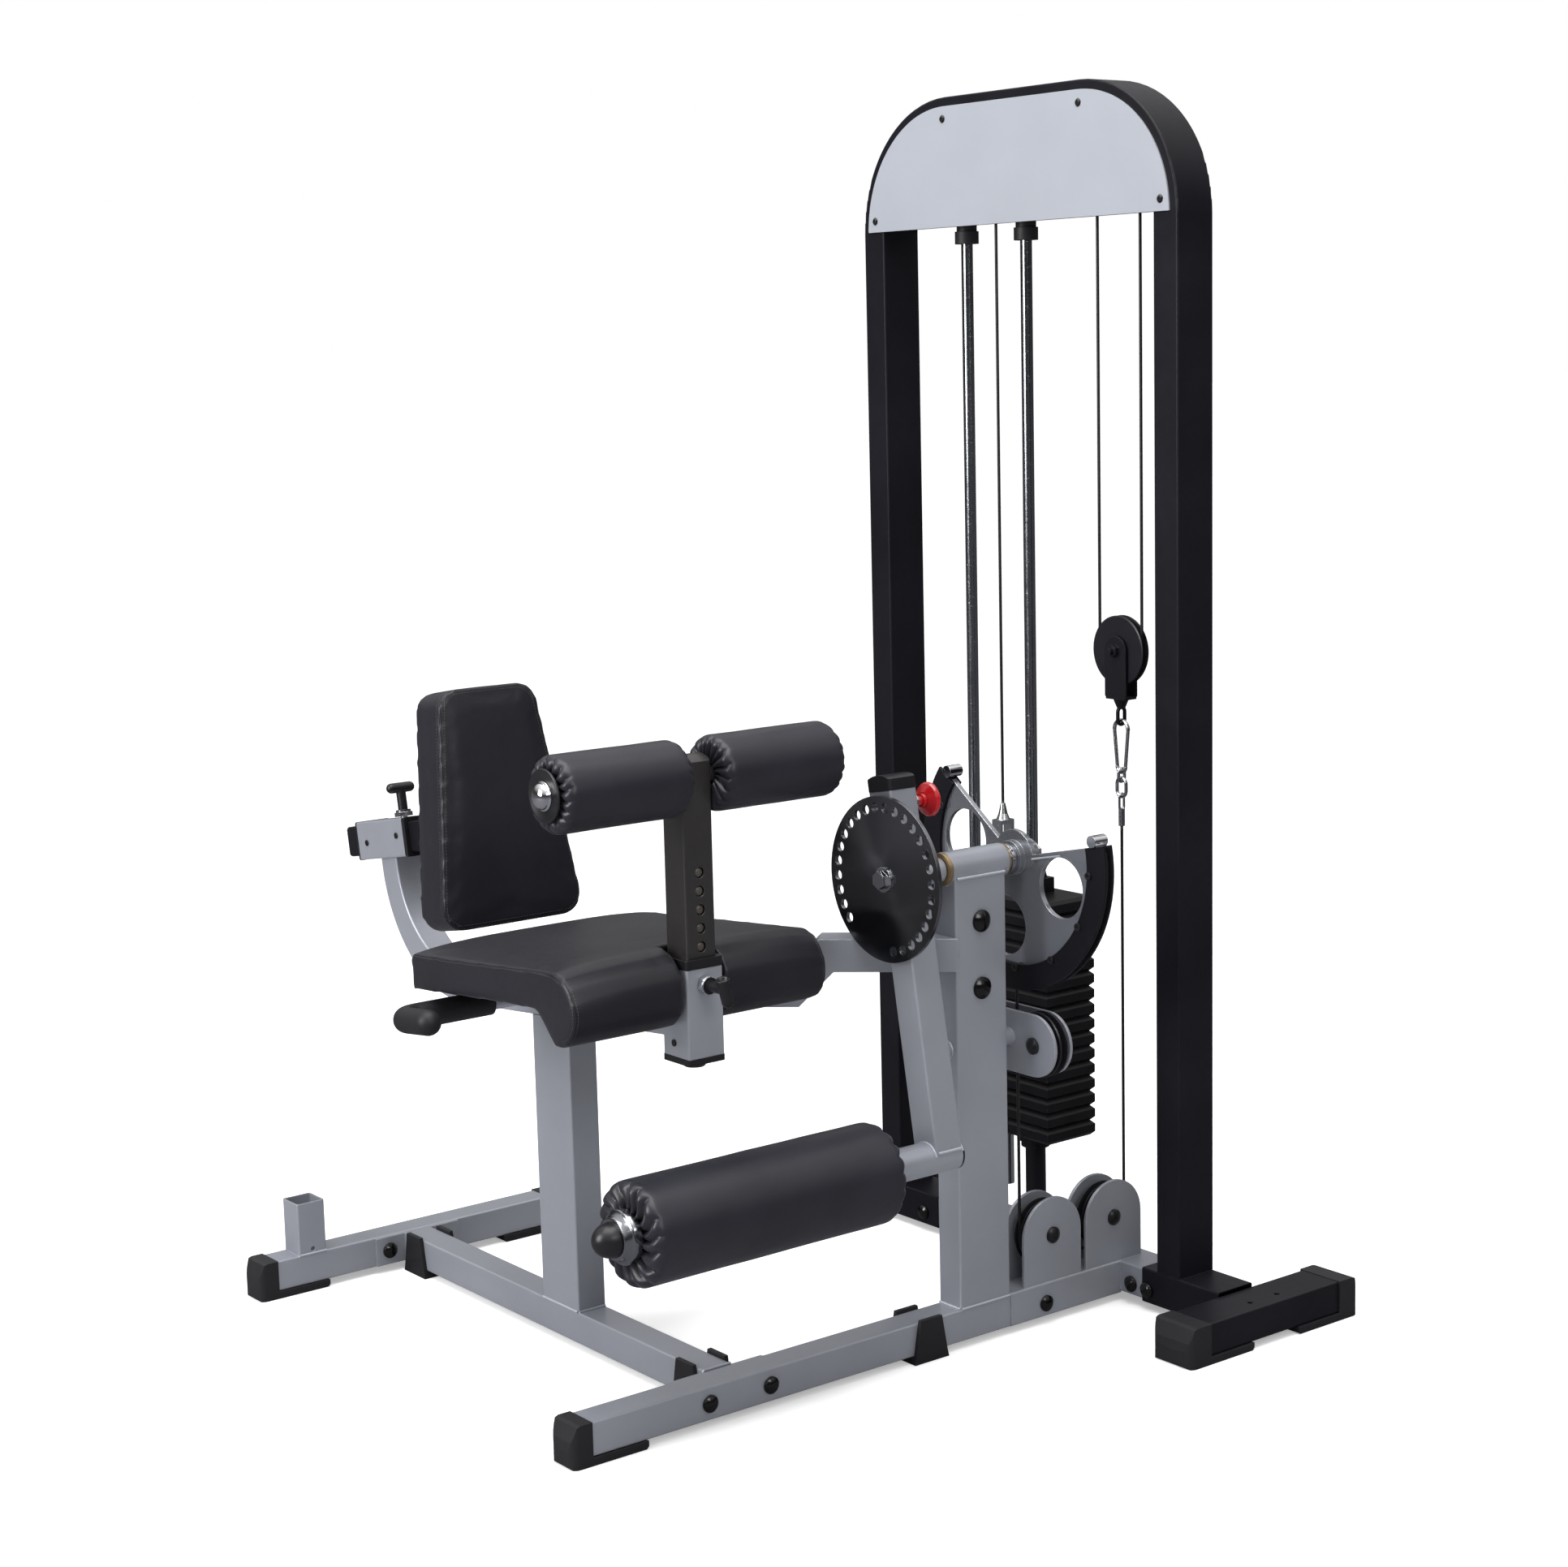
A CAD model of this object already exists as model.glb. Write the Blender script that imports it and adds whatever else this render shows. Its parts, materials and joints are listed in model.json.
import bpy, bmesh, math, json, random
from mathutils import Vector, Matrix, noise
from mathutils.bvhtree import BVHTree

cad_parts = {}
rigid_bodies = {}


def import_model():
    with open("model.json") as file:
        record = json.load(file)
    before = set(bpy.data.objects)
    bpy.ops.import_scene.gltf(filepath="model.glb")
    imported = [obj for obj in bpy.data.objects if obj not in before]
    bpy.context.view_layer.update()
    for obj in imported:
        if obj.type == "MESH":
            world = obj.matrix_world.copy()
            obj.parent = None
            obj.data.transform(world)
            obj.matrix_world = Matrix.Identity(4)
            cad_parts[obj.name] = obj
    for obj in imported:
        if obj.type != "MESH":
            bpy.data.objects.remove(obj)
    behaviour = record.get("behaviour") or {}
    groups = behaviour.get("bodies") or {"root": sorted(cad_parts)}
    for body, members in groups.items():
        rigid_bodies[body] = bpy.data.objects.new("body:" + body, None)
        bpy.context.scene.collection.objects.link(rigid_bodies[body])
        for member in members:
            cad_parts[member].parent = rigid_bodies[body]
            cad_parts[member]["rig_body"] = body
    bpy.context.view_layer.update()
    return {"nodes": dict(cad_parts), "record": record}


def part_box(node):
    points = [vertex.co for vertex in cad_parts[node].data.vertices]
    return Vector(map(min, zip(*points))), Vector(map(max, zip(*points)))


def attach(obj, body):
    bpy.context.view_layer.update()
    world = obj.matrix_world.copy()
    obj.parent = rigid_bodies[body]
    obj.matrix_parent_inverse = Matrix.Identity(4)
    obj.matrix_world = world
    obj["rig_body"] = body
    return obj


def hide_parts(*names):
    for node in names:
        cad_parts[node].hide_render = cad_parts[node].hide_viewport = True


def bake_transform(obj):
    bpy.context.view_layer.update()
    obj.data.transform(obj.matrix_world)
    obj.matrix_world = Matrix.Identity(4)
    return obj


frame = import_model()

MM = 0.001
PI = math.pi

# The machine's own reference point: foot of the pivot mast, left face, on the floor.
_lo, _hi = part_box("base_frame")
ORIGIN = Vector((_lo.x + 684 * MM, (_lo.y + _hi.y) / 2, 0))
SEAT_X = -425.4
PIVOT_H = 750


def at(x, y, z):
    """A point given in millimetres from the mast's foot, in the row frame."""
    return ORIGIN + Vector((x, y, z)) * MM


# ------------------------------------------------------------------ materials

def _link(tree, a, b):
    tree.links.new(a, b)


def make_material(name, color, rough, metal=0.0, tint=0.06, tint_scale=6.0, rough_var=0.06,
                  bump=(), coat=0.0, bevel=0.8, edge=None, edge_mix=0.35, spec=0.5,
                  scratch=0.0, sheen=0.0):
    """Principled surface with noise in colour, roughness and bump, softened edges and edge wear.
    bump: list of (kind, scale per metre, distance in mm)."""
    m = bpy.data.materials.new(name)
    m.use_nodes = True
    t = m.node_tree
    t.nodes.clear()
    n = t.nodes.new
    out = n("ShaderNodeOutputMaterial")
    bs = n("ShaderNodeBsdfPrincipled")
    _link(t, bs.outputs[0], out.inputs[0])
    co = n("ShaderNodeTexCoord")
    big = n("ShaderNodeTexNoise")
    big.inputs["Scale"].default_value = tint_scale
    big.inputs["Detail"].default_value = 5
    _link(t, co.outputs["Object"], big.inputs["Vector"])
    lo = [max(0.0, c * (1 - tint)) for c in color]
    hi = [min(1.0, c * (1 + tint)) for c in color]
    ramp = n("ShaderNodeMix")
    ramp.data_type = "RGBA"
    ramp.inputs[6].default_value = (*lo, 1)
    ramp.inputs[7].default_value = (*hi, 1)
    spread = n("ShaderNodeMapRange")
    spread.inputs["From Min"].default_value = 0.3
    spread.inputs["From Max"].default_value = 0.7
    _link(t, big.outputs["Fac"], spread.inputs["Value"])
    _link(t, spread.outputs[0], ramp.inputs[0])
    colour = ramp.outputs[2]
    rmap = n("ShaderNodeMapRange")
    rmap.inputs["To Min"].default_value = max(0.02, rough - rough_var)
    rmap.inputs["To Max"].default_value = min(1.0, rough + rough_var)
    fine = n("ShaderNodeTexNoise")
    fine.inputs["Scale"].default_value = 55
    fine.inputs["Detail"].default_value = 6
    _link(t, co.outputs["Object"], fine.inputs["Vector"])
    _link(t, fine.outputs["Fac"], rmap.inputs["Value"])
    roughness = rmap.outputs[0]
    normal = None
    if bevel:
        bv = n("ShaderNodeBevel")
        bv.samples = 4
        bv.inputs["Radius"].default_value = bevel * MM
        normal = bv.outputs[0]
        if edge:
            geo = n("ShaderNodeNewGeometry")
            dot = n("ShaderNodeVectorMath")
            dot.operation = "DOT_PRODUCT"
            _link(t, bv.outputs[0], dot.inputs[0])
            _link(t, geo.outputs["Normal"], dot.inputs[1])
            inv = n("ShaderNodeMapRange")
            inv.inputs["From Min"].default_value = 0.995
            inv.inputs["From Max"].default_value = 0.86
            inv.inputs["To Max"].default_value = edge_mix
            _link(t, dot.outputs["Value"], inv.inputs["Value"])
            chip = n("ShaderNodeMath")
            chip.operation = "MULTIPLY"
            _link(t, inv.outputs[0], chip.inputs[0])
            cmap = n("ShaderNodeMapRange")
            cmap.inputs["From Min"].default_value = 0.35
            cmap.inputs["From Max"].default_value = 0.6
            _link(t, fine.outputs["Fac"], cmap.inputs["Value"])
            _link(t, cmap.outputs[0], chip.inputs[1])
            mx = n("ShaderNodeMix")
            mx.data_type = "RGBA"
            mx.inputs[7].default_value = (*edge, 1)
            _link(t, chip.outputs[0], mx.inputs[0])
            _link(t, colour, mx.inputs[6])
            colour = mx.outputs[2]
    for kind, scale, dist in bump:
        if kind == "pebble":
            tex = n("ShaderNodeTexVoronoi")
            tex.feature = "SMOOTH_F1"
            height = tex.outputs["Distance"]
        elif kind == "brush":
            tex = n("ShaderNodeTexNoise")
            tex.inputs["Detail"].default_value = 3
            height = tex.outputs["Fac"]
        else:
            tex = n("ShaderNodeTexNoise")
            tex.inputs["Detail"].default_value = 4
            height = tex.outputs["Fac"]
        tex.inputs["Scale"].default_value = scale
        if kind == "brush":
            mp = n("ShaderNodeMapping")
            mp.inputs["Scale"].default_value = (1, 1, 0.03)
            _link(t, co.outputs["Object"], mp.inputs["Vector"])
            _link(t, mp.outputs[0], tex.inputs["Vector"])
        else:
            _link(t, co.outputs["Object"], tex.inputs["Vector"])
        b = n("ShaderNodeBump")
        b.inputs["Strength"].default_value = 1.0
        b.inputs["Distance"].default_value = dist * MM
        _link(t, height, b.inputs["Height"])
        if normal:
            _link(t, normal, b.inputs["Normal"])
        normal = b.outputs[0]
    if scratch:
        sc = n("ShaderNodeTexNoise")
        sc.inputs["Scale"].default_value = 260
        sc.inputs["Detail"].default_value = 2
        mp = n("ShaderNodeMapping")
        mp.inputs["Rotation"].default_value = (0.4, 0.8, 0.3)
        mp.inputs["Scale"].default_value = (0.04, 1, 1)
        _link(t, co.outputs["Object"], mp.inputs["Vector"])
        _link(t, mp.outputs[0], sc.inputs["Vector"])
        sm = n("ShaderNodeMapRange")
        sm.inputs["From Min"].default_value = 0.6
        sm.inputs["From Max"].default_value = 0.75
        sm.inputs["To Max"].default_value = scratch
        _link(t, sc.outputs["Fac"], sm.inputs["Value"])
        add = n("ShaderNodeMath")
        add.operation = "ADD"
        _link(t, roughness, add.inputs[0])
        _link(t, sm.outputs[0], add.inputs[1])
        roughness = add.outputs[0]
    _link(t, colour, bs.inputs["Base Color"])
    _link(t, roughness, bs.inputs["Roughness"])
    if normal:
        _link(t, normal, bs.inputs["Normal"])
    bs.inputs["Metallic"].default_value = metal
    bs.inputs["Specular IOR Level"].default_value = spec
    bs.inputs["Coat Weight"].default_value = coat
    bs.inputs["Coat Roughness"].default_value = 0.12
    bs.inputs["Sheen Weight"].default_value = sheen
    m.diffuse_color = (*color, 1)
    return m


MAT = {
    "silver_paint": make_material("silver_paint", (0.315, 0.328, 0.370), 0.34, metal=0.45, tint=0.05,
        bump=[("noise", 420, 0.008), ("noise", 2600, 0.004)], coat=0.25, bevel=2.2,
        edge=(0.80, 0.81, 0.84), edge_mix=0.45),
    "black_paint": make_material("black_paint", (0.0055, 0.0055, 0.0085), 0.40, tint=0.25,
        bump=[("noise", 900, 0.02), ("pebble", 1500, 0.01)], bevel=1.8, edge=(0.03, 0.03, 0.034),
        edge_mix=0.5, spec=0.22),
    "post_paint": make_material("post_paint", (0.085, 0.080, 0.078), 0.32, metal=0.8, tint=0.12,
        bump=[("brush", 900, 0.006)], bevel=2.0, edge=(0.4, 0.4, 0.4), edge_mix=0.3, scratch=0.15),
    "cam_paint": make_material("cam_paint", (0.30, 0.31, 0.34), 0.20, metal=0.75, tint=0.05,
        bump=[("noise", 300, 0.01)], bevel=1.6, edge=(0.9, 0.9, 0.92), edge_mix=0.9, coat=0.5),
    "sign_paint": make_material("sign_paint", (0.33, 0.345, 0.385), 0.42, metal=0.15, tint=0.03,
        bump=[("noise", 500, 0.006)], bevel=0.6, edge=(0.8, 0.8, 0.8), edge_mix=0.5, spec=0.3),
    "chrome": make_material("chrome", (0.74, 0.75, 0.77), 0.07, metal=1.0, tint=0.02, rough_var=0.03,
        bump=[("noise", 90, 0.004)], bevel=1.0, scratch=0.16),
    "rod_chrome": make_material("rod_chrome", (0.34, 0.35, 0.37), 0.16, metal=1.0, tint=0.10, rough_var=0.05,
        bump=[("brush", 500, 0.006)], bevel=0, scratch=0.2),
    "zinc_steel": make_material("zinc_steel", (0.55, 0.56, 0.58), 0.20, metal=1.0, tint=0.06,
        bump=[("noise", 600, 0.01)], bevel=0.6, scratch=0.12),
    "bronze": make_material("bronze", (0.42, 0.30, 0.17), 0.42, metal=0.85, tint=0.14, tint_scale=60,
        bump=[("noise", 1800, 0.02)], bevel=0.6, edge=(0.65, 0.5, 0.3), edge_mix=0.6),
    "black_steel": make_material("black_steel", (0.012, 0.012, 0.013), 0.30, metal=0.3, tint=0.15,
        bump=[("noise", 900, 0.01)], bevel=0.7, edge=(0.15, 0.15, 0.15), edge_mix=0.5, spec=0.5),
    "plate_iron": make_material("plate_iron", (0.0035, 0.0035, 0.0045), 0.36, metal=0.0, tint=0.3,
        tint_scale=18, bump=[("noise", 220, 0.06), ("noise", 1200, 0.03)], bevel=1.6,
        edge=(0.035, 0.035, 0.042), edge_mix=0.7, spec=0.22),
    "black_rubber": make_material("black_rubber", (0.011, 0.011, 0.013), 0.50, tint=0.2,
        bump=[("noise", 1300, 0.02), ("noise", 160, 0.02)], bevel=1.8, edge=(0.04, 0.04, 0.04),
        edge_mix=0.4, spec=0.35),
    "black_plastic": make_material("black_plastic", (0.009, 0.009, 0.011), 0.32, tint=0.15,
        bump=[("noise", 1100, 0.012)], bevel=1.2, edge=(0.05, 0.05, 0.05), edge_mix=0.4, spec=0.4),
    "bolt_cap": make_material("bolt_cap", (0.003, 0.003, 0.003), 0.12, tint=0.15,
        bump=[("noise", 300, 0.01)], bevel=1.0, spec=0.6),
    "pulley_plastic": make_material("pulley_plastic", (0.009, 0.009, 0.012), 0.30, tint=0.2,
        bump=[("noise", 700, 0.015)], bevel=0.8, edge=(0.05, 0.05, 0.06), edge_mix=0.4, spec=0.4),
    "knob_red": make_material("knob_red", (0.42, 0.008, 0.012), 0.16, tint=0.08,
        bump=[("noise", 200, 0.01)], bevel=1.0, coat=0.6),
    "cable_sheath": make_material("cable_sheath", (0.010, 0.010, 0.010), 0.30, tint=0.2,
        bump=[("noise", 900, 0.02)], bevel=0, spec=0.4),
    "hole_cup": make_material("hole_cup", (0.10, 0.088, 0.080), 0.38, metal=0.5, tint=0.2,
        bump=[("noise", 900, 0.02)], bevel=0),
    "roller_vinyl": make_material("roller_vinyl", (0.0125, 0.0125, 0.0185), 0.36, tint=0.16,
        tint_scale=9, bump=[("pebble", 1100, 0.05), ("noise", 60, 0.25)], bevel=0, spec=0.42, sheen=0.03),
    "pad_vinyl": make_material("pad_vinyl", (0.0085, 0.0085, 0.0130), 0.40, tint=0.16, tint_scale=7,
        bump=[("pebble", 1000, 0.05), ("noise", 38, 0.35)], bevel=0, spec=0.42, sheen=0.03),
    "thread": make_material("thread", (0.05, 0.05, 0.055), 0.6, tint=0.2,
        bump=[("brush", 4000, 0.05)], bevel=0),
    "silver_weld": make_material("silver_weld", (0.42, 0.44, 0.49), 0.34, metal=0.4, tint=0.08,
        bump=[("noise", 700, 0.05)], bevel=0, coat=0.3),
    "black_weld": make_material("black_weld", (0.012, 0.012, 0.014), 0.34, tint=0.1,
        bump=[("noise", 700, 0.05)], bevel=0, spec=0.3),
}


def turned(m, amount, rough):
    """Circular brushing about X on a disc."""
    t = m.node_tree
    b = next(x for x in t.nodes if x.type == "BSDF_PRINCIPLED")
    tg = t.nodes.new("ShaderNodeTangent")
    tg.direction_type = "RADIAL"
    tg.axis = "X"
    _link(t, tg.outputs[0], b.inputs["Tangent"])
    b.inputs["Anisotropic"].default_value = amount
    for l in list(b.inputs["Roughness"].links):
        t.links.remove(l)
    b.inputs["Roughness"].default_value = rough


MAT["disc_chrome"] = make_material("disc_chrome", (0.24, 0.242, 0.255), 0.2, metal=1.0, tint=0.03,
    bump=[("noise", 90, 0.004)], bevel=1.0)
turned(MAT["disc_chrome"], 0.95, 0.15)


def two_tone(name, first, second, point, axis, axis2=None):
    """Material that is second in front of the plane (or of both planes) through point, else first."""
    a, b = MAT[first], MAT[second]
    m = a.copy()
    m.name = name
    t = m.node_tree
    out = next(x for x in t.nodes if x.type == "OUTPUT_MATERIAL")
    sh_a = out.inputs[0].links[0].from_socket
    # bring the second material's nodes in
    made = {}
    for x in b.node_tree.nodes:
        if x.type == "OUTPUT_MATERIAL":
            continue
        y = t.nodes.new(x.bl_idname)
        for p in x.bl_rna.properties:
            if not p.is_readonly and p.identifier not in ("name", "label", "parent", "location", "select"):
                try:
                    setattr(y, p.identifier, getattr(x, p.identifier))
                except Exception:
                    pass        # a few node properties can't be set by hand and keep their default
        for i, s in enumerate(x.inputs):
            if hasattr(s, "default_value"):
                y.inputs[i].default_value = s.default_value
        made[x.name] = y
    for l in b.node_tree.links:
        if l.to_node.name in made and l.from_node.name in made:
            i = list(l.from_node.outputs).index(l.from_socket)
            j = list(l.to_node.inputs).index(l.to_socket)
            t.links.new(made[l.from_node.name].outputs[i], made[l.to_node.name].inputs[j])
    sh_b = next(y for y in made.values() if y.type == "BSDF_PRINCIPLED").outputs[0]
    co = t.nodes.new("ShaderNodeTexCoord")
    dot = t.nodes.new("ShaderNodeVectorMath")
    dot.operation = "DOT_PRODUCT"
    dot.inputs[1].default_value = axis
    _link(t, co.outputs["Object"], dot.inputs[0])
    gt = t.nodes.new("ShaderNodeMath")
    gt.operation = "GREATER_THAN"
    gt.inputs[1].default_value = Vector(point).dot(Vector(axis))
    _link(t, dot.outputs["Value"], gt.inputs[0])
    mask = gt.outputs[0]
    if axis2 is not None:
        dot2 = t.nodes.new("ShaderNodeVectorMath")
        dot2.operation = "DOT_PRODUCT"
        dot2.inputs[1].default_value = axis2
        _link(t, co.outputs["Object"], dot2.inputs[0])
        gt2 = t.nodes.new("ShaderNodeMath")
        gt2.operation = "GREATER_THAN"
        gt2.inputs[1].default_value = Vector(point).dot(Vector(axis2))
        _link(t, dot2.outputs["Value"], gt2.inputs[0])
        both = t.nodes.new("ShaderNodeMath")
        both.operation = "MULTIPLY"
        _link(t, mask, both.inputs[0])
        _link(t, gt2.outputs[0], both.inputs[1])
        mask = both.outputs[0]
    mix = t.nodes.new("ShaderNodeMixShader")
    _link(t, mask, mix.inputs[0])
    _link(t, sh_a, mix.inputs[1])
    _link(t, sh_b, mix.inputs[2])
    _link(t, mix.outputs[0], out.inputs[0])
    return m


# Every CAD node takes the material of its slot in the record.
SLOT = {s["node"]: s["material_slot"] for s in frame["record"]["subparts"]}
for node, o in frame["nodes"].items():
    for s in o.material_slots:
        s.material = MAT[SLOT[node]]

TILT = math.radians(9.8)
RECLINE = math.radians(9.6)
REST_ARM = Matrix.Translation(at(0, 0, PIVOT_H)) @ Matrix.Rotation(-TILT, 4, "X")


def arm(x, y, z):
    """A point given in the lever arm's own frame, in millimetres from the pivot."""
    return REST_ARM @ (Vector((x, y, z)) * MM)


def paint(node, m):
    for s in frame["nodes"][node].material_slots:
        s.material = m


paint("rom_knob", two_tone("knob_on_pin", "chrome", "knob_red", at(-36, 0, 0), (1, 0, 0)))
PIN_COLLAR = 10.5       # mm, bare steel collar of a pull pin outside its sleeve
SLEEVE_FACE = 30.75     # mm, front face of the hold-down sleeve behind the front tube
pin_axis = Vector((0, math.sin(RECLINE), math.cos(RECLINE)))
sleeve_top = at(SEAT_X, 895, 742) + pin_axis * 33.75 * MM
paint("back_pin", two_tone("back_pin_finish", "zinc_steel", "black_plastic",
    sleeve_top + pin_axis * PIN_COLLAR * MM, pin_axis))
paint("hold_down_pin", two_tone("hold_down_pin_finish", "chrome", "black_plastic",
    at(SEAT_X, SLEEVE_FACE - PIN_COLLAR, 0), (0, -1, 0)))
pivot = at(0, 0, PIVOT_H)
paint("cam_rim", two_tone("cam_rim_finish", "black_paint", "chrome", pivot,
    (0, -math.sin(math.radians(37)), math.cos(math.radians(37))),
    (0, math.sin(math.radians(168)), -math.cos(math.radians(168)))))
paint("rom_disc", MAT["disc_chrome"])
paint("guide_rods", MAT["rod_chrome"])
paint("frame_bolts", MAT["bolt_cap"])
knob_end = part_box("selector_pin")[0] + Vector((22, 0, 0)) * MM
paint("selector_pin", two_tone("selector_pin_finish", "knob_red", "chrome", knob_end, (1, 0, 0)))


# ------------------------------------------------------------------ mesh helpers

def add_mesh(name, verts, faces, mat, body, smooth=True):
    me = bpy.data.meshes.new(name)
    me.from_pydata([tuple(v) for v in verts], [], faces)
    me.update()
    o = bpy.data.objects.new(name, me)
    bpy.context.scene.collection.objects.link(o)
    me.materials.append(MAT[mat] if isinstance(mat, str) else mat)
    for p in me.polygons:
        p.use_smooth = smooth
    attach(o, body)
    return o


def fix_normals(o):
    bm = bmesh.new()
    bm.from_mesh(o.data)
    bmesh.ops.recalc_face_normals(bm, faces=bm.faces)
    bm.to_mesh(o.data)
    bm.free()


def rings_mesh(rings, close_start=False, close_end=False):
    """Verts and faces of a skin over a list of equal rings."""
    n = len(rings[0])
    verts = [v for r in rings for v in r]
    faces = []
    for i in range(len(rings) - 1):
        for k in range(n):
            a, b = i * n + k, i * n + (k + 1) % n
            faces.append((a, b, b + n, a + n))
    if close_start:
        faces.append(tuple(range(n)))
    if close_end:
        faces.append(tuple(range(len(verts) - n, len(verts)))[::-1])
    return verts, faces


def tube_along(points, radius, segs=10, wobble=None):
    """Rings of a round tube through the points, with an even frame."""
    pts = [Vector(p) for p in points]
    rings = []
    up = None
    for i, p in enumerate(pts):
        d = (pts[min(i + 1, len(pts) - 1)] - pts[max(i - 1, 0)]).normalized()
        if up is None:
            up = d.orthogonal().normalized()
        side = d.cross(up).normalized()
        up = side.cross(d).normalized()
        r = radius * (wobble(i) if wobble else 1)
        rings.append([p + (side * math.cos(2 * PI * k / segs) + up * math.sin(2 * PI * k / segs)) * r
                      for k in range(segs)])
    return rings


def lathe(name, profile, centre, axis, mat, body, segs=64, flats=None):
    """Turned piece: profile is (along axis, radius) in millimetres. flats: (count, across/2 in mm)."""
    axis = Vector(axis).normalized()
    a = axis.orthogonal().normalized()
    b = axis.cross(a)
    rings = []
    for h, r in profile:
        ring = []
        for k in range(segs):
            t = 2 * PI * k / segs
            rr = r
            if flats and r > flats[1] * 0.9:
                w = 2 * PI / flats[0]
                loc = (t + w / 2) % w - w / 2
                rr = min(r, flats[1] / math.cos(loc))
            ring.append(centre + (axis * h + (a * math.cos(t) + b * math.sin(t)) * rr) * MM)
        rings.append(ring)
    v, f = rings_mesh(rings, profile[0][1] > 0.01, profile[-1][1] > 0.01)
    o = add_mesh(name, v, f, mat, body)
    fix_normals(o)
    return o


def dome(r, h, n=10, base=0.0):
    """Profile of a dome of radius r and height h."""
    turns = [PI / 2 * k / n for k in range(n + 1)]
    return [(base + h * math.sin(a), max(0.02, r * math.cos(a))) for a in turns]


def weld(name, points, r=2.4, body="frame", mat="silver_weld", pitch=2.6, seed=1):
    """A weld bead: a rippled round run along the points, given in the row frame."""
    pts = [Vector(p) for p in points]
    rnd = random.Random(seed)
    out = []
    for a, b in zip(pts, pts[1:]):
        n = max(2, int((b - a).length / (pitch * MM / 4)))
        out += [a.lerp(b, k / n) for k in range(n)]
    out.append(pts[-1])
    phase = rnd.random() * 6
    wob = [0.82 + 0.22 * abs(math.sin(i * PI / 4 + phase + 0.5 * math.sin(i * 0.13)))
           + 0.10 * noise.noise(p * 240) for i, p in enumerate(out)]
    rings = tube_along(out, r * MM, 8, lambda i: wob[i])
    v, f = rings_mesh(rings, True, True)
    return add_mesh(name, v, f, mat, body)


# ------------------------------------------------------------------ soft goods

def cloth_pad(node, name, voxel, shrink, cap, pinned, shape, pressure=4.0, frames=20, give=0.22):
    """The pad's CAD solid, remeshed, drawn in a little, then inflated as cloth over firm foam.
    The foam lets through only part of the cloth's movement (give), and at most cap mm."""
    src = frame["nodes"][node]
    me = src.data.copy()
    o = bpy.data.objects.new(name, me)
    bpy.context.scene.collection.objects.link(o)
    vx = o.modifiers.new("voxels", "REMESH")
    vx.mode = "VOXEL"
    vx.voxel_size = voxel * MM
    sm = o.modifiers.new("soften", "SMOOTH")
    sm.factor = 0.5
    sm.iterations = 3
    dg = bpy.context.evaluated_depsgraph_get()
    base = bpy.data.meshes.new_from_object(o.evaluated_get(dg))
    o.modifiers.clear()
    o.data = base
    normals = [v.normal.copy() for v in base.vertices]
    for v, nn in zip(base.vertices, normals):
        if not pinned(v.co, nn):
            v.co -= nn * shrink * MM
        v.co = shape(v.co, nn)
    base.update()
    start = [v.co.copy() for v in base.vertices]
    grp = o.vertex_groups.new(name="held")
    grp.add([v.index for v, nn in zip(base.vertices, normals) if pinned(v.co, nn)], 1.0, "REPLACE")
    cl = o.modifiers.new("cloth", "CLOTH")
    st = cl.settings
    st.quality = 6
    st.mass = 0.3
    st.tension_stiffness = 18
    st.compression_stiffness = 18
    st.shear_stiffness = 8
    st.bending_stiffness = 1.2
    st.use_pressure = True
    st.uniform_pressure_force = pressure
    st.vertex_group_mass = "held"
    st.effector_weights.gravity = 0
    cl.collision_settings.use_collision = False
    cl.point_cache.frame_start = 1
    cl.point_cache.frame_end = frames
    sc = bpy.context.scene
    for f in range(1, frames + 1):
        sc.frame_set(f)
    dg = bpy.context.evaluated_depsgraph_get()
    done = bpy.data.meshes.new_from_object(o.evaluated_get(dg))
    o.modifiers.clear()
    sc.frame_set(1)
    for v, s, nn in zip(done.vertices, start, normals):
        full = s if pinned(s, nn) else s + nn * shrink * MM
        d = (v.co - full) * give
        if d.length > cap * MM:
            d = d.normalized() * cap * MM
        v.co = full + d
    done.update()
    o.data = done
    sm = o.modifiers.new("settle", "SMOOTH")
    sm.factor = 0.5
    sm.iterations = 2
    sub = o.modifiers.new("finer", "SUBSURF")
    sub.levels = sub.render_levels = 1
    dg = bpy.context.evaluated_depsgraph_get()
    final = bpy.data.meshes.new_from_object(o.evaluated_get(dg))
    o.modifiers.clear()
    o.data = final
    final.materials.clear()
    final.materials.append(MAT["pad_vinyl"])
    for p in final.polygons:
        p.use_smooth = True
    return o


def surface_path(tree, points, lift=0.0):
    """Points moved onto a mesh's surface, with the surface normal."""
    out = []
    for p in points:
        loc, nrm, _, _ = tree.find_nearest(Vector(p))
        out.append((loc + nrm * lift * MM, nrm))
    return out


def resample(points, step, closed=False):
    pts = [Vector(p) for p in points]
    if closed:
        pts.append(pts[0])
    out = [pts[0].copy()]
    left = step
    for a, b in zip(pts, pts[1:]):
        d = (b - a).length
        if d < 1e-9:
            continue
        t = left
        while t <= d:
            out.append(a.lerp(b, t / d))
            t += step
        left = t - d
    return out


def smooth_line(points, closed=False, sub=6):
    """Catmull-Rom through the points."""
    p = [Vector(q) for q in points]
    n = len(p)
    out = []
    for i in range(n if closed else n - 1):
        a = p[(i - 1) % n] if closed or i > 0 else p[0]
        b, c = p[i], p[(i + 1) % n]
        d = p[(i + 2) % n] if closed or i + 2 < n else p[-1]
        for k in range(sub):
            t = k / sub
            out.append(0.5 * ((2 * b) + (c - a) * t + (2 * a - 5 * b + 4 * c - d) * t * t
                              + (3 * b - a - 3 * c + d) * t ** 3))
    if not closed:
        out.append(p[-1])
    return out


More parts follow.
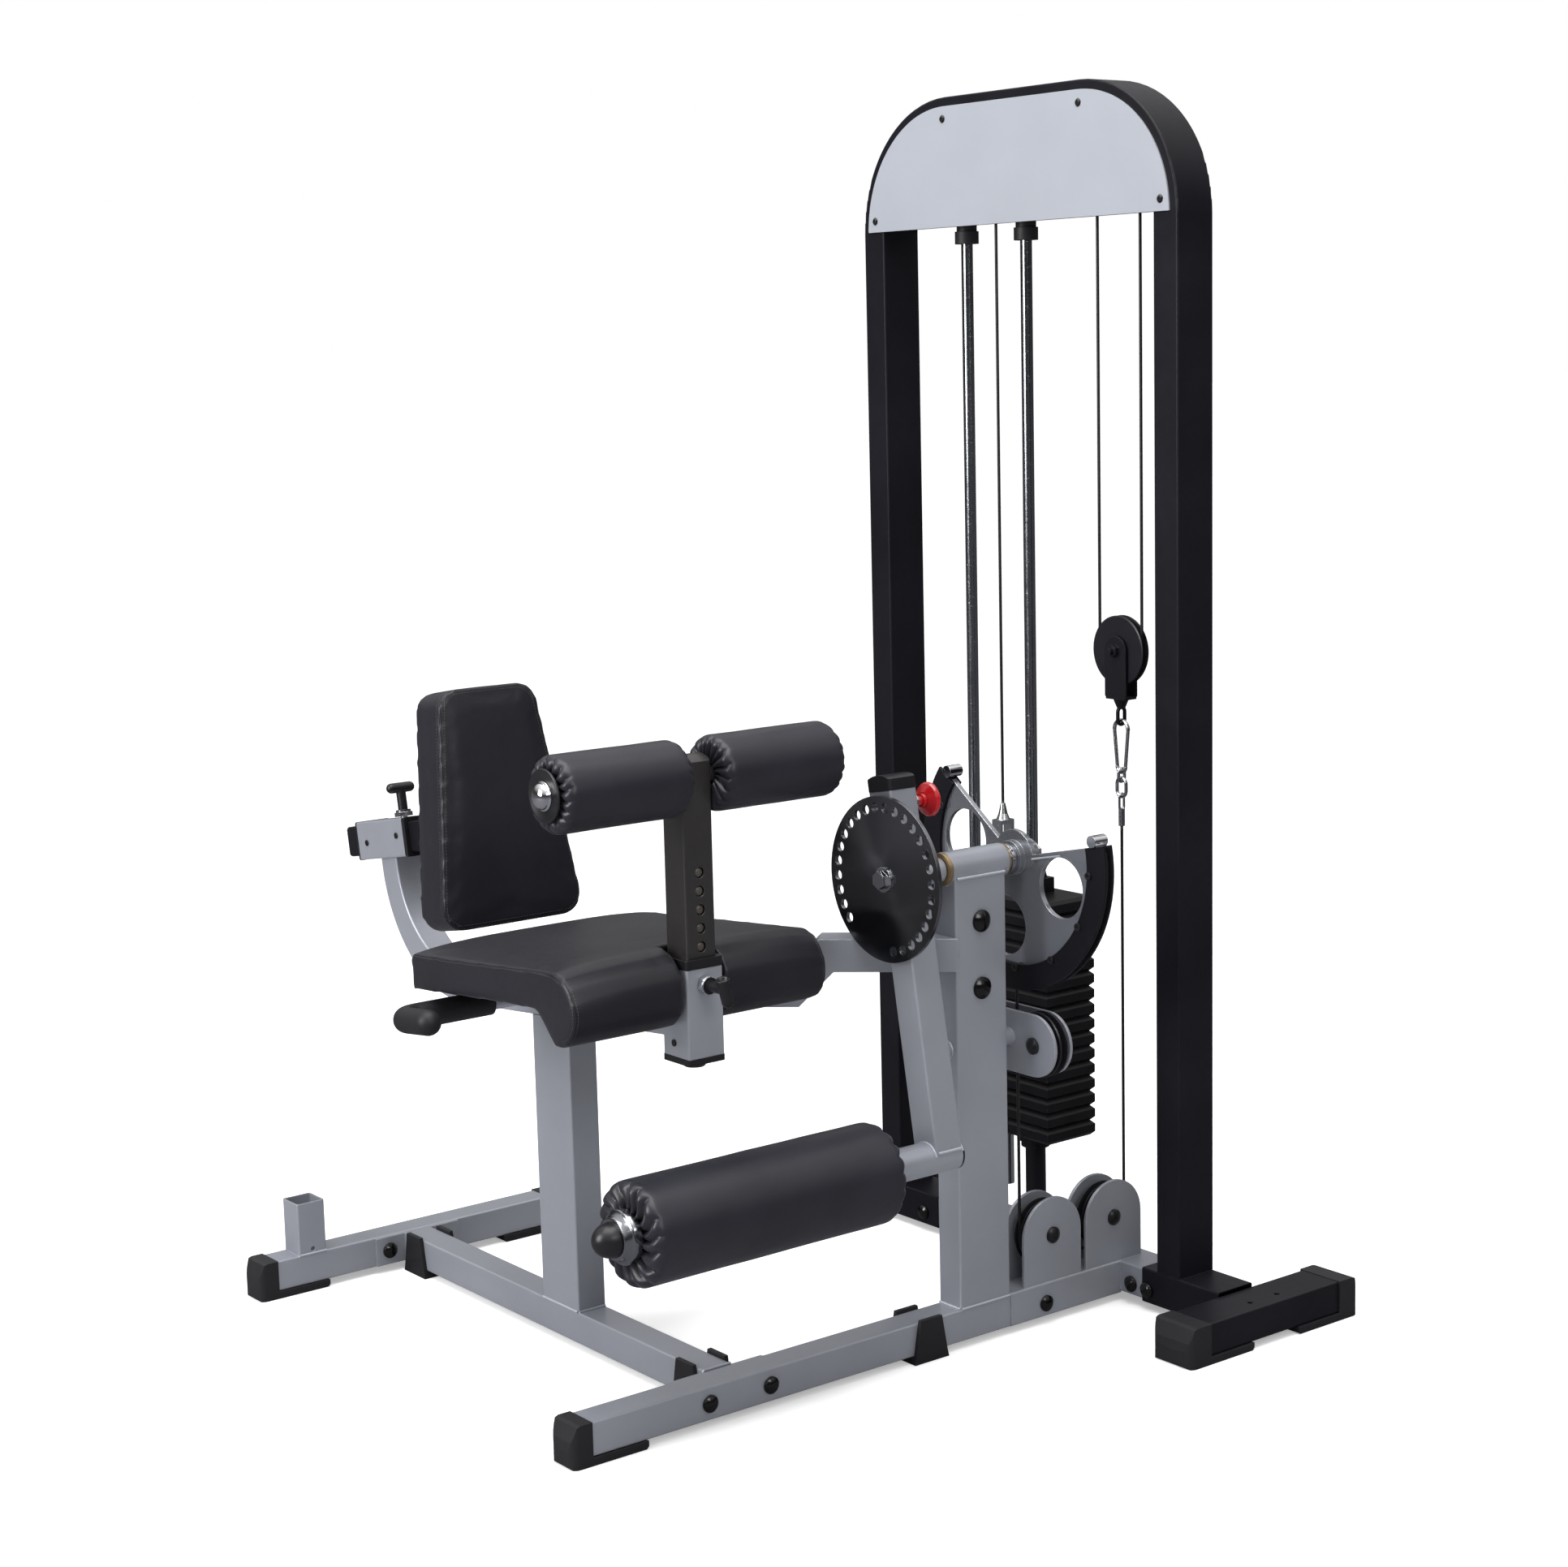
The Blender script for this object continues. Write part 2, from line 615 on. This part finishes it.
def seam(name, tree, points, body, closed=False, r=0.9, mat="pad_vinyl"):
    """A thin sewn ridge that lies on the surface."""
    line = resample(smooth_line(points, closed), 4 * MM, closed)
    pts = [q for q, _ in surface_path(tree, line, -0.1)]
    if closed:
        pts.append(pts[0])
    rings = tube_along(pts, r * MM, 8)
    v, f = rings_mesh(rings, True, True)
    return add_mesh(name, v, f, mat, body)


def stitches(name, tree, points, body, closed=False, pitch=5.0, length=3.2, r=0.42):
    """A row of short thread stitches on the surface."""
    line = resample(smooth_line(points, closed), pitch * MM, closed)
    sp = surface_path(tree, line, 0.15)
    verts, faces = [], []
    for (p, nrm), (q, _) in zip(sp, sp[1:]):
        d = (q - p).normalized()
        side = d.cross(nrm).normalized()
        up = side.cross(d)
        h = length * MM / 2
        c = (p + q) / 2
        prof = [(-h, 0.25), (-h * 0.7, 0.8), (0, 1), (h * 0.7, 0.8), (h, 0.25)]
        base = len(verts)
        for s, w in prof:
            for k in range(6):
                t = 2 * PI * k / 6
                verts.append(c + d * s + (side * math.cos(t) + up * math.sin(t)) * r * w * MM)
        for i in range(4):
            for k in range(6):
                a = base + i * 6 + k
                b = base + i * 6 + (k + 1) % 6
                faces.append((a, b, b + 6, a + 6))
        faces.append(tuple(base + k for k in range(6))[::-1])
        faces.append(tuple(base + 24 + k for k in range(6)))
    return add_mesh(name, verts, faces, "thread", body)


def bvh(o):
    bm = bmesh.new()
    bm.from_mesh(o.data)
    t = BVHTree.FromBMesh(bm)
    bm.free()
    return t


# Seat pad
s_lo, s_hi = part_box("seat_pad")
SEAT_MID = ORIGIN.x + SEAT_X * MM
HALF_SEAT = (s_hi.x - s_lo.x) / 2


def seat_shape(co, nn):
    """Crown of the seat: full in the middle, lower along the side seams."""
    x = abs(co.x - SEAT_MID) / HALF_SEAT
    q = (co - ORIGIN) / MM
    c = co.copy()
    if q.z > 612:
        w = min(1.0, (q.z - 612) / 40)
        c.z -= 11 * MM * w * x ** 3.6
    if q.y < 70:
        w = min(1.0, (70 - q.y) / 30)
        c.y += 5 * MM * w * x ** 4
    return c


def seat_held(co, nn):
    q = (co - ORIGIN) / MM
    under = 588 + (481 - q.y) * math.tan(math.radians(5.1))
    if q.y > 120 and q.z < under + 3 and nn.z < -0.5:
        return True
    return abs(q.x - SEAT_X) < 42 and q.y < 115


seat = cloth_pad("seat_pad", "seat_pad_cover", 5.5, 4.0, 1.8, seat_held, seat_shape)
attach(seat, "frame")
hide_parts("seat_pad")
seat_tree = bvh(seat)
edge_line = [(484, 648), (430, 650), (349, 656), (270, 664), (203, 671), (149, 677), (120, 679), (96, 677),
             (65, 670), (46, 659), (35, 640), (31, 617), (37, 599), (51, 583), (66, 578)]
for s, side in ((-1, "left"), (1, "right")):
    x = SEAT_X + s * 224
    pts = [at(x, y, z) for y, z in edge_line]
    seam("seat_seam_" + side, seat_tree, pts, "frame")
    inner = [at(x - s * 6, y, z + 1.5) if y > 60 else at(x - s * 6, y - 2, z) for y, z in edge_line]
    stitches("seat_stitch_top_" + side, seat_tree, inner, "frame")
    # the stitch on the boxing side, offset towards the pad's middle plane
    lower = []
    for (y, z) in edge_line:
        v = Vector((92 - y, 632 - z)) if y < 92 else Vector((0, -1))
        v.normalize()
        lower.append(at(x + s * 3, y + v.x * 5, z + v.y * 5))
    stitches("seat_stitch_side_" + side, seat_tree, lower, "frame")

# Back pad
BACK = Matrix.Translation(at(SEAT_X, 533, 650)) @ Matrix.Rotation(-RECLINE, 4, "X")
BACK_INV = BACK.inverted()
BACK_T = 76


def back_shape(co, nn):
    q = (BACK_INV @ co) / MM
    # gentle crown over the front face
    w = 1 - min(1.0, abs(q.x) / 128) ** 3
    h = 1 - min(1.0, abs(q.z - 188) / 190) ** 3
    if q.y < 20:
        q.y -= 3.0 * w * h
    return BACK @ (q * MM)


def back_held(co, nn):
    q = (BACK_INV @ co) / MM
    return q.y > BACK_T - 4


back = cloth_pad("back_pad", "back_pad_cover", 5.0, 4.0, 1.5, back_held, back_shape)
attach(back, "back_rest")
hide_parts("back_pad")
back_tree = bvh(back)


def back_loop(inset, y):
    """Rounded trapezoid of the back pad, inset from its outline, in the row frame."""
    w0, w1, h, r = 132 - inset, 88 - inset, 376 - inset, 34 - inset * 0.4
    lo = inset
    pts = []
    corners = ((w0 - r - 2, lo + r, -90), (w1 - r + 2, h - r, 0),
               (-w1 + r - 2, h - r, 90), (-w0 + r + 2, lo + r, 180))
    for cx, cz, a0 in corners:
        for k in range(7):
            a = math.radians(a0 + 90 * k / 6)
            pts.append(BACK @ (Vector((cx + r * math.cos(a), y, cz + r * math.sin(a))) * MM))
    return pts


seam("back_seam", back_tree, back_loop(1.0, 4), "back_rest", closed=True)
stitches("back_stitch_side", back_tree, back_loop(-2.0, 10), "back_rest", closed=True)
stitches("back_stitch_face", back_tree, back_loop(7.0, -6), "back_rest", closed=True)


def pleat_table(count, seed):
    rnd = random.Random(seed)
    w = [0.75 + rnd.random() * 0.5 for _ in range(count)]
    total = sum(w)
    edges, acc = [], 0.0
    for x in w:
        edges.append(acc / total)
        acc += x
    return edges + [1.0], [0.75 + rnd.random() * 0.35 for _ in range(count)]


def pleat(t, table):
    """Height of the gathers at turn t, 0 in the valleys and about 1 on the ridges."""
    edges, amp = table
    t = t % 1.0
    for i in range(len(amp)):
        if edges[i] <= t < edges[i + 1]:
            u = (t - edges[i]) / (edges[i + 1] - edges[i])
            return amp[i] * math.sin(PI * u) ** 0.7
    return 0.0


def roller(name, to_world, x0, x1, r, bore0, bore1, body, node, seed, folds=24, segs=288, depth=7.0):
    """Foam roller under a vinyl sleeve whose ends are gathered in, along local X in millimetres."""
    tables = (pleat_table(folds, seed), pleat_table(folds + 1, seed + 7))
    e = 13.0
    rows = []           # x, radius, end index, gather weight
    for side in (0, 1):
        part = []
        bore = bore0 if side == 0 else bore1
        face = [(bore, 9.0, 0.6), (bore + 2, 5.0, 0.9)]
        steps = 9
        for k in range(steps):
            q = (k + 1) / steps
            rr = bore + 2 + (r - e - bore - 2) * q
            part_x = 3.5 * (1 - q) ** 1.5
            face.append((rr, part_x, 1.0 - 0.25 * q))
        for k in range(1, 9):
            a = PI / 2 * k / 8
            face.append((r - e + e * math.sin(a), e - e * math.cos(a), 0.75 * (1 - k / 8) ** 1.2 + 0.06))
        for rr, dx, g in face:
            part.append((dx, rr, g))
        for dx, g in ((22, 0.05), (34, 0.03), (52, 0.0)):
            part.append((dx, r, g))
        rows.append(part)
    left = [(x0 + dx, rr, 0, g) for dx, rr, g in rows[0]]
    mid = [(x0 + 52 + (x1 - x0 - 104) * k / 10, r, 0, 0.0) for k in range(1, 10)]
    right = [(x1 - dx, rr, 1, g) for dx, rr, g in rows[1]][::-1]
    rings = []
    for x, rr, side, g in left + mid + right:
        ring = []
        for k in range(segs):
            t = k / segs
            p = pleat(t + 0.015 * math.sin(rr * 0.11 + side), tables[side])
            out = (1 if side else -1)
            dx = out * depth * g * (p - 0.55)
            c, s = math.cos(2 * PI * t), math.sin(2 * PI * t)
            soft = 0.5 * noise.noise(Vector((x * 0.018, c * 1.3, s * 1.3 + seed)))
            rad = rr + soft * (1 if rr > r * 0.8 else 0) + (1.6 * g * (p - 0.5) if rr > r - e else 0)
            ring.append(to_world @ (Vector((x + dx, rad * c, rad * s)) * MM))
        rings.append(ring)
    # inside of the bore, so that the piece is closed
    around = [2 * PI * k / segs for k in range(segs)]
    inner = [Vector((x0 + 9, bore0 * math.cos(a), bore0 * math.sin(a))) for a in around]
    rings.append([to_world @ (p * MM) for p in inner])
    v, f = rings_mesh(rings)
    o = add_mesh(name, v, f, "roller_vinyl", body)
    fix_normals(o)
    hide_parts(node)
    return o


LEVER = 421             # mm from the pivot to the leg roller's tube
ROLL = REST_ARM @ Matrix.Translation(Vector((0, 0, -LEVER)) * MM)
roller("shin_roller_cover", ROLL, -643, -202, 75.5, 26, 26, "shin_roller", "leg_roller",
       3, folds=17, depth=12.5)

THIGH_Z, THIGH_Y = 935, 52
for s, side in ((-1, "left"), (1, "right")):
    base = Matrix.Translation(at(SEAT_X, THIGH_Y, THIGH_Z))
    if s > 0:
        x0, x1, b0, b1 = 29, 241, 13, 24
    else:
        x0, x1, b0, b1 = -241, -29, 24, 13
    roller("thigh_cover_" + side, base, x0, x1, 55.5, b0, b1, "thigh_" + side, "thigh_roller_" + side,
           11 + s, folds=18, segs=240, depth=8)
    c = at(SEAT_X + s * 246, THIGH_Y, THIGH_Z)
    washer = [(-7, 22), (-1.2, 22), (-1.0, 36.5), (0.0, 38.0), (2.6, 38.0), (3.6, 37.0),
              (3.8, 34.5), (3.2, 33.6), (3.2, 22.4), (2.2, 21)]
    lathe("thigh_washer_" + side, washer, c, (s, 0, 0), "black_plastic", "thigh_" + side,
          segs=72)
    cap = [(2.0, 21.0), (4.2, 21.3), (5.2, 20.4), (5.6, 19.0)] + dome(18.6, 11.5, 12, 5.8)
    lathe("thigh_cap_" + side, cap, c, (s, 0, 0), "chrome", "thigh_" + side, segs=72)

# Locking collar and domed cap at the free end of the shin roller
collar_c = arm(-664, 0, -LEVER)
xdir = Vector((1, 0, 0))
ACROSS = 38.6           # mm from the collar's axis to one of its six flats
collar_profile = [(-4.8, 24.0), (-4.8, 29.4), (-4.2, 30.2), (0.8, 30.4), (1.2, 32.4), (5.4, 33.2),
                  (6.0, 37.0), (7.0, ACROSS), (8.6, 39.6), (18.6, 39.9), (20.6, ACROSS), (20.8, 25.6)]
lathe("shin_collar", collar_profile, collar_c, xdir, "rod_chrome", "lever",
      segs=120, flats=(6, ACROSS))
lathe("shin_cap", [(4.9, 20.0), (4.9, 25.0)] + dome(25.6, 31, 16, 5.0), collar_c, -xdir,
      "black_plastic", "lever", segs=72)
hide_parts("leg_roller_collar")


# ------------------------------------------------------------------ cables that change length

CABLE_R = 2.5


def cable(name, x, y, z0, z1, node):
    """Vertical cable from a fixed point on body_a at z0 to a moving point on body_b at z1."""
    n = 64
    around = [2 * PI * j / 12 for j in range(12)]
    rings = []
    for k in range(n + 1):
        z = z0 + (z1 - z0) * k / n
        rings.append([at(x + CABLE_R * math.cos(a), y + CABLE_R * math.sin(a), z) for a in around])
    v, f = rings_mesh(rings, True, True)
    o = add_mesh(name, v, f, "cable_sheath", "frame")
    fix_normals(o)
    o.parent = None
    if "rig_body" in o:
        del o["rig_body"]
    o.matrix_world = Matrix.Identity(4)
    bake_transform(o)
    if node:
        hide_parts(node)
    return o


TOWER_X = 374.6         # mm, plane of the cables in the tower
HEAD_H, BLOCK_H, FLOOR_H = 1800, 1050, 141      # mm, heights of the pulleys' axles
LOOP_R = 46.5           # mm, the cable's own radius around the block's pulley
cable("stack_cable_run", TOWER_X, 280, HEAD_H, 773.4, "stack_cable")
cable("block_cable_front", TOWER_X, -LOOP_R, HEAD_H + 40, BLOCK_H, "block_cables")
cable("block_cable_rear", TOWER_X, LOOP_R, HEAD_H, BLOCK_H, None)
cable("drive_cable_up", TOWER_X, 0, FLOOR_H, 772, "drive_cable_riser")
arc = [at(TOWER_X, LOOP_R * math.cos(-PI * k / 32), BLOCK_H + LOOP_R * math.sin(-PI * k / 32))
       for k in range(33)]
v, f = rings_mesh(tube_along(arc, CABLE_R * MM, 10), True, True)
add_mesh("block_cable_loop", v, f, "cable_sheath", "block")


# ------------------------------------------------------------------ weld beads

def circle_pts(c, r, axis, n=48):
    """Closed circle of radius r mm about an axis through c."""
    axis = Vector(axis).normalized()
    ref = Vector((0, 0, 1)) if abs(axis.z) < 0.9 else Vector((0, 1, 0))
    a = axis.cross(ref).normalized()
    b = axis.cross(a)
    turns = [math.radians(360 * k / n) for k in range(n + 1)]
    return [c + (a * math.cos(t) + b * math.sin(t)) * r * MM for t in turns]


weld("weld_housing_front", [at(3, -26, 737), at(99, -26, 737)], 2.4, seed=2)
weld("weld_housing_rear", [at(3, 26, 737), at(99, 26, 737)], 2.4, seed=3)
weld("weld_mast_foot_front", [at(1, -25.2, 63.5), at(100, -25.2, 63.5)], 2.2, seed=4)
weld("weld_mast_foot_left", [at(0, -24, 63.8), at(0, 24, 63.8)], 2.4, seed=5)
weld("weld_post_foot_left", [at(SEAT_X - 25.4, 360, 63.6), at(SEAT_X - 25.4, 458, 63.6)], 2.2, seed=6)
weld("weld_post_foot_front", [at(SEAT_X - 24, 358.2, 63.8), at(SEAT_X + 24, 358.2, 63.8)], 2.4, seed=7)
weld("weld_stub_front", circle_pts(at(-0.5, 0, 470), 14.5, (1, 0, 0)), 1.9, seed=8)
weld("weld_arm_tube", [arm(-102, -25.3, -413), arm(-57, -25.3, -413)], 2.4, body="lever", seed=16)
weld("weld_arm_hub", circle_pts(arm(-53.6, 0, 0), 19.5, (1, 0, 0)), 2.0, body="lever", seed=9)
for x, k in ((-105.6, 10), (-53.4, 11)):
    turns = [math.radians(a) for a in range(4, 178, 6)]
    foot = [arm(x, 25.2 * math.cos(a), -LEVER + 25.2 * math.sin(a)) for a in turns]
    weld("weld_arm_foot_%d" % k, foot, 1.9, body="lever", seed=k)
# cups in the adjusting holes of the hold-down post
POST_FACE = 43.7        # mm, where the cups start, just inside the post's front wall
HOLE_PITCH = 27
for k in (-1, 1, 2, 3, 4, 5, 6):
    lathe("post_cup_%d" % (k + 1), [(0.4, 7.9), (0.9, 7.6)] + dome(7.2, 3.2, 8, 0.9),
          at(SEAT_X, POST_FACE, 635 + HOLE_PITCH * k), (0, -1, 0),
          "hole_cup", "thigh_post", segs=32)
weld("weld_cam_top", [at(141.8, -42, 752), at(141.8, -105, 765)], 1.8, body="cam", seed=15)
weld("weld_socket", [at(-646, 923.5 - 25.6, 63.4), at(-597, 923.5 - 25.6, 63.4)], 2.0, seed=12)
weld("weld_flange", [at(SEAT_X - 25.6, 31, 16), at(SEAT_X - 25.6, 31, 60), at(SEAT_X - 24, 31, 63.2),
                     at(SEAT_X + 24, 31, 63.2)], 2.0, seed=13)

# ------------------------------------------------------------------ stage

def floor_material():
    """Pale floor; reflections see it darker, as if flagged off in the studio."""
    m = bpy.data.materials.new("floor_paint")
    m.use_nodes = True
    t = m.node_tree
    b = t.nodes["Principled BSDF"]
    path = t.nodes.new("ShaderNodeLightPath")
    mx = t.nodes.new("ShaderNodeMix")
    mx.data_type = "RGBA"
    mx.inputs[6].default_value = (0.88, 0.88, 0.88, 1)
    mx.inputs[7].default_value = (0.12, 0.12, 0.13, 1)
    _link(t, path.outputs["Is Glossy Ray"], mx.inputs[0])
    _link(t, mx.outputs[2], b.inputs["Base Color"])
    b.inputs["Roughness"].default_value = 0.9
    b.inputs["Specular IOR Level"].default_value = 0.0
    glow = t.nodes.new("ShaderNodeMath")
    glow.operation = "MULTIPLY"
    glow.inputs[1].default_value = 0.34
    _link(t, path.outputs["Is Camera Ray"], glow.inputs[0])
    b.inputs["Emission Color"].default_value = (1, 1, 1, 1)
    _link(t, glow.outputs[0], b.inputs["Emission Strength"])
    return m


bpy.ops.mesh.primitive_plane_add(size=400, location=(0, 0, -0.0005))
floor = bpy.context.object
floor.name = "floor"
floor.data.materials.append(floor_material())

# White backdrop for the camera; a dome that is bright overhead and dim at the horizon lights the part.
world = bpy.data.worlds.new("studio")
bpy.context.scene.world = world
world.use_nodes = True
wt = world.node_tree
bg = wt.nodes["Background"]
bg.inputs[0].default_value = (1, 1, 1, 1)
path = wt.nodes.new("ShaderNodeLightPath")
wco = wt.nodes.new("ShaderNodeTexCoord")
sep = wt.nodes.new("ShaderNodeSeparateXYZ")
_link(wt, wco.outputs["Generated"], sep.inputs[0])
up = wt.nodes.new("ShaderNodeMapRange")
up.inputs["From Min"].default_value = 0.18
up.inputs["From Max"].default_value = 0.85
up.inputs["To Min"].default_value = 0.05
up.inputs["To Max"].default_value = 1.15
_link(wt, sep.outputs[2], up.inputs["Value"])
pick = wt.nodes.new("ShaderNodeMix")
_link(wt, path.outputs["Is Camera Ray"], pick.inputs[0])
_link(wt, up.outputs[0], pick.inputs[2])
pick.inputs[3].default_value = 1.0
_link(wt, pick.outputs[0], bg.inputs[1])


def area(name, loc, target, size, power):
    """Rectangular white light aimed at a point, in metres and watts."""
    d = bpy.data.lights.new(name, "AREA")
    d.shape = "RECTANGLE"
    d.size, d.size_y = size
    d.energy = power
    o = bpy.data.objects.new(name, d)
    bpy.context.scene.collection.objects.link(o)
    o.location = loc
    o.rotation_euler = (Vector(target) - Vector(loc)).to_track_quat("-Z", "Y").to_euler()
    return o


area("top_soft", (-0.8, -0.6, 5.0), (0, 0, 0.6), (4.2, 3.6), 190)
area("left_soft", (-5.2, 0.6, 2.6), (0, 0, 0.9), (2.6, 3.0), 240)
area("front_soft", (-0.6, -5.6, 3.4), (0, 0, 0.8), (3.0, 1.8), 60)

cam_data = bpy.data.cameras.new("camera")
cam = bpy.data.objects.new("camera", cam_data)
bpy.context.scene.collection.objects.link(cam)
cam.location = at(-2685.4, -3106.1, 1527.9)
HEADING, PITCH, ROLL_ANGLE = math.radians(-37.529), math.radians(81.110), math.radians(-1.408)
cam.rotation_euler = (Matrix.Rotation(HEADING, 4, "Z") @ Matrix.Rotation(PITCH, 4, "X")
                      @ Matrix.Rotation(ROLL_ANGLE, 4, "Z")).to_euler()
cam_data.sensor_width = 36
cam_data.lens = 63.511
cam_data.clip_end = 100
bpy.context.scene.camera = cam
bpy.context.scene.view_settings.view_transform = "Standard"
